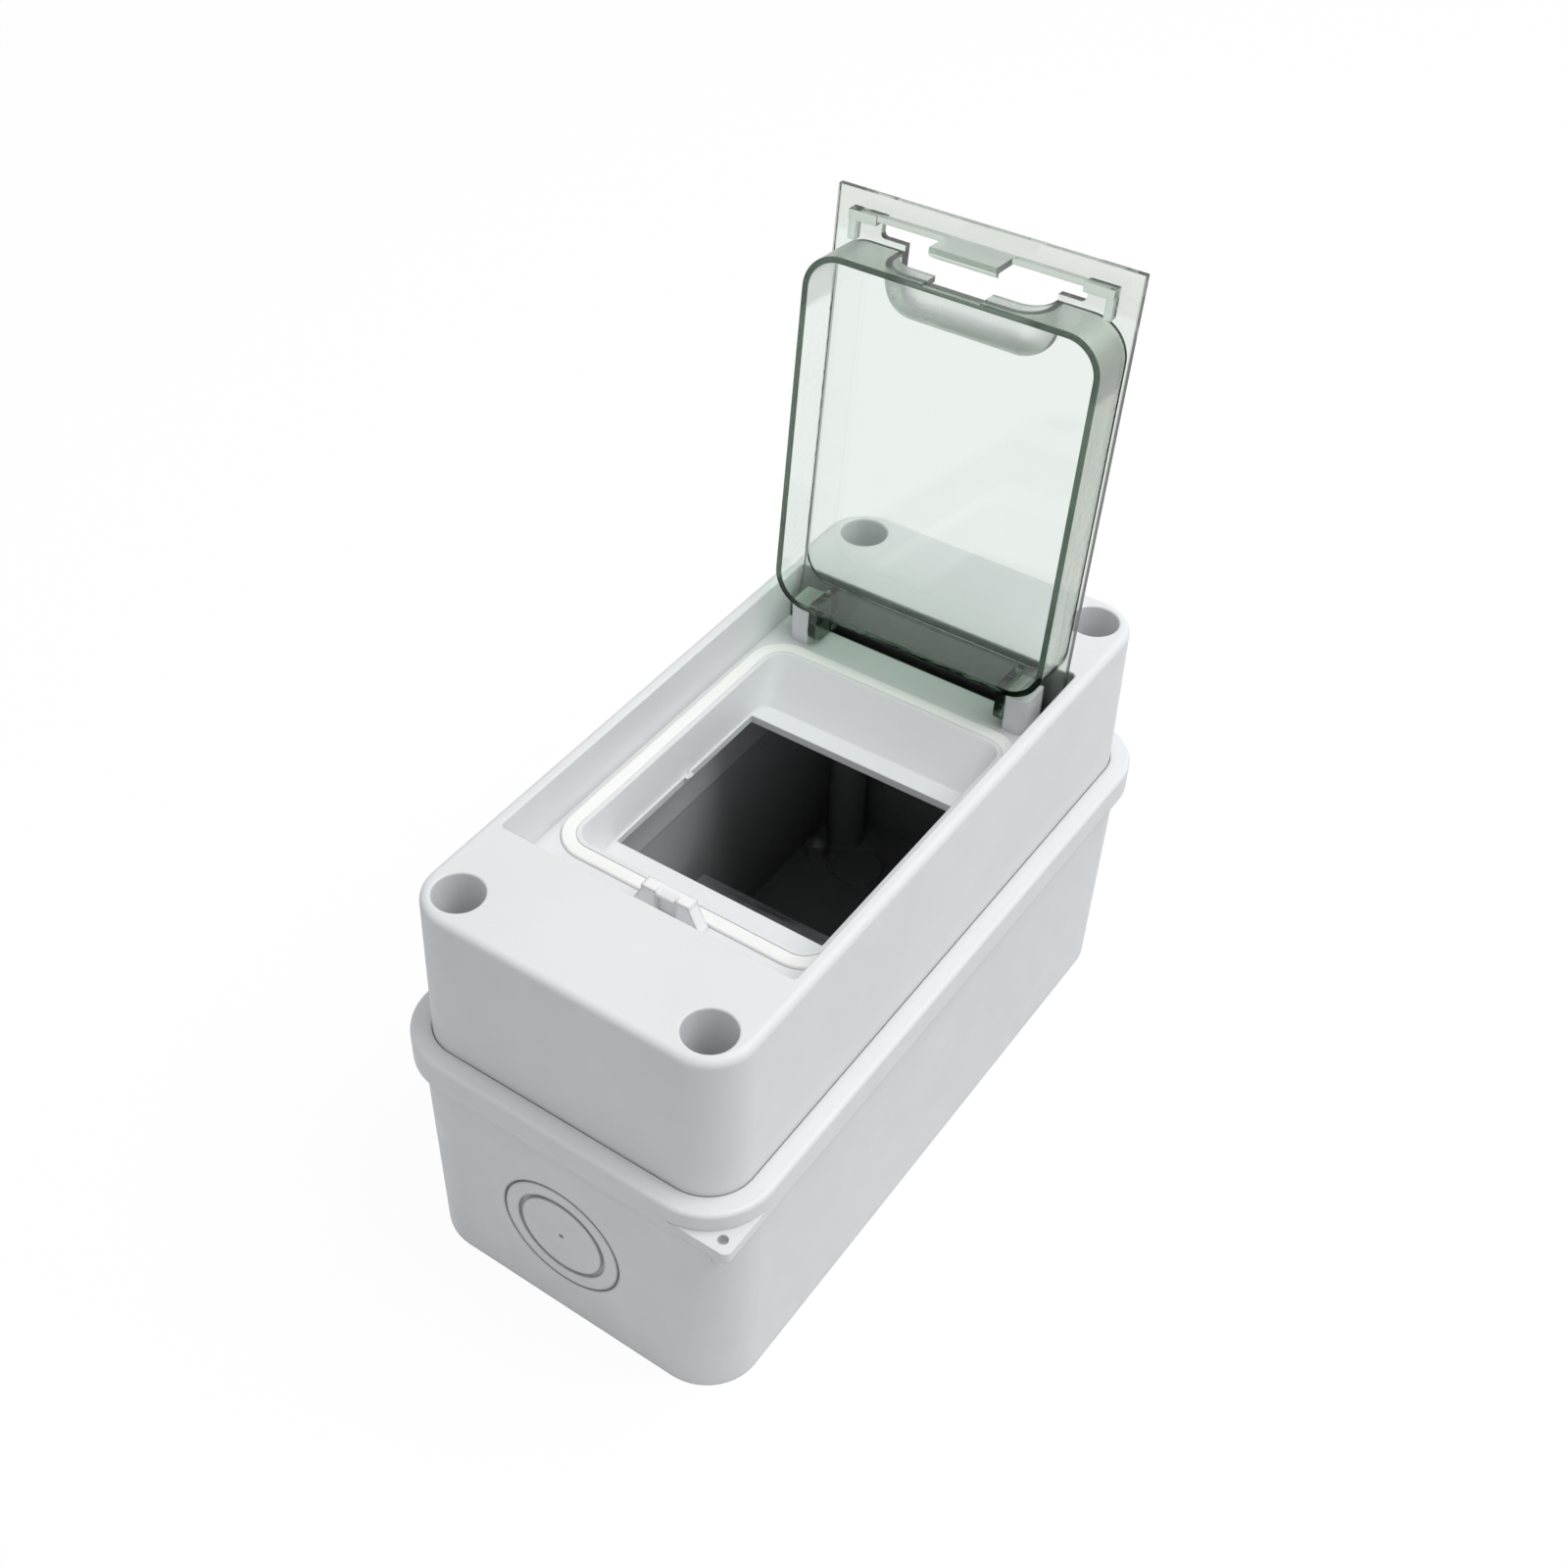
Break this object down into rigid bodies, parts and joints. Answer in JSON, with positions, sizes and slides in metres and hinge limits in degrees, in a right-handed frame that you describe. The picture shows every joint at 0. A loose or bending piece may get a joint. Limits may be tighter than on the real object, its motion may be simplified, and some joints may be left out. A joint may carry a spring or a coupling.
{
  "type": "junction box",
  "caption": "Weatherproof breaker box: deep base with knockouts, screwed cover with a gasketed well, and a hinged clear lid with a snap tab.",
  "frame": {"origin": "middle of the underside, on the wall plane", "axes": "+Z out of the wall through the cover, -Y towards the end with the lid's catch, +Y towards the end with the lid's hinge, +X to the right seen from the catch end"},
  "size_m": [0.1, 0.2, 0.2224],
  "materials": {
    "box_plastic": "fine-grained light grey moulding",
    "clear_plastic": "clear moulding with a faint green tint, polished",
    "white_seal": "soft white foam seal",
    "black_seal": "black rubber washer",
    "plated_steel": "zinc-plated",
    "brass": "turned"
  },
  "bodies": {
    "box": {"base_box": "box_plastic", "cover": "box_plastic", "lid_gasket": "white_seal", "cover_gasket": "white_seal", "din_rail": "plated_steel", "cover_screw_front_left": "plated_steel", "cover_screw_back_left": "plated_steel", "cover_screw_front_right": "plated_steel", "cover_screw_back_right": "plated_steel", "screw_seal_front_left": "black_seal", "screw_seal_back_left": "black_seal", "screw_seal_front_right": "black_seal", "screw_seal_back_right": "black_seal", "threaded_insert_front_left": "brass", "threaded_insert_back_left": "brass", "threaded_insert_front_right": "brass", "threaded_insert_back_right": "brass", "rail_screw_left": "plated_steel", "rail_screw_right": "plated_steel"},
    "lid": {"lid": "clear_plastic"}
  },
  "joints": [
    {"name": "lid_hinge", "type": "hinge", "parent": "box", "child": "lid", "pos_m": [0, 0.0519, 0.1108], "axis": [1, 0, 0], "range_deg": [0, 95.4]}
  ]
}
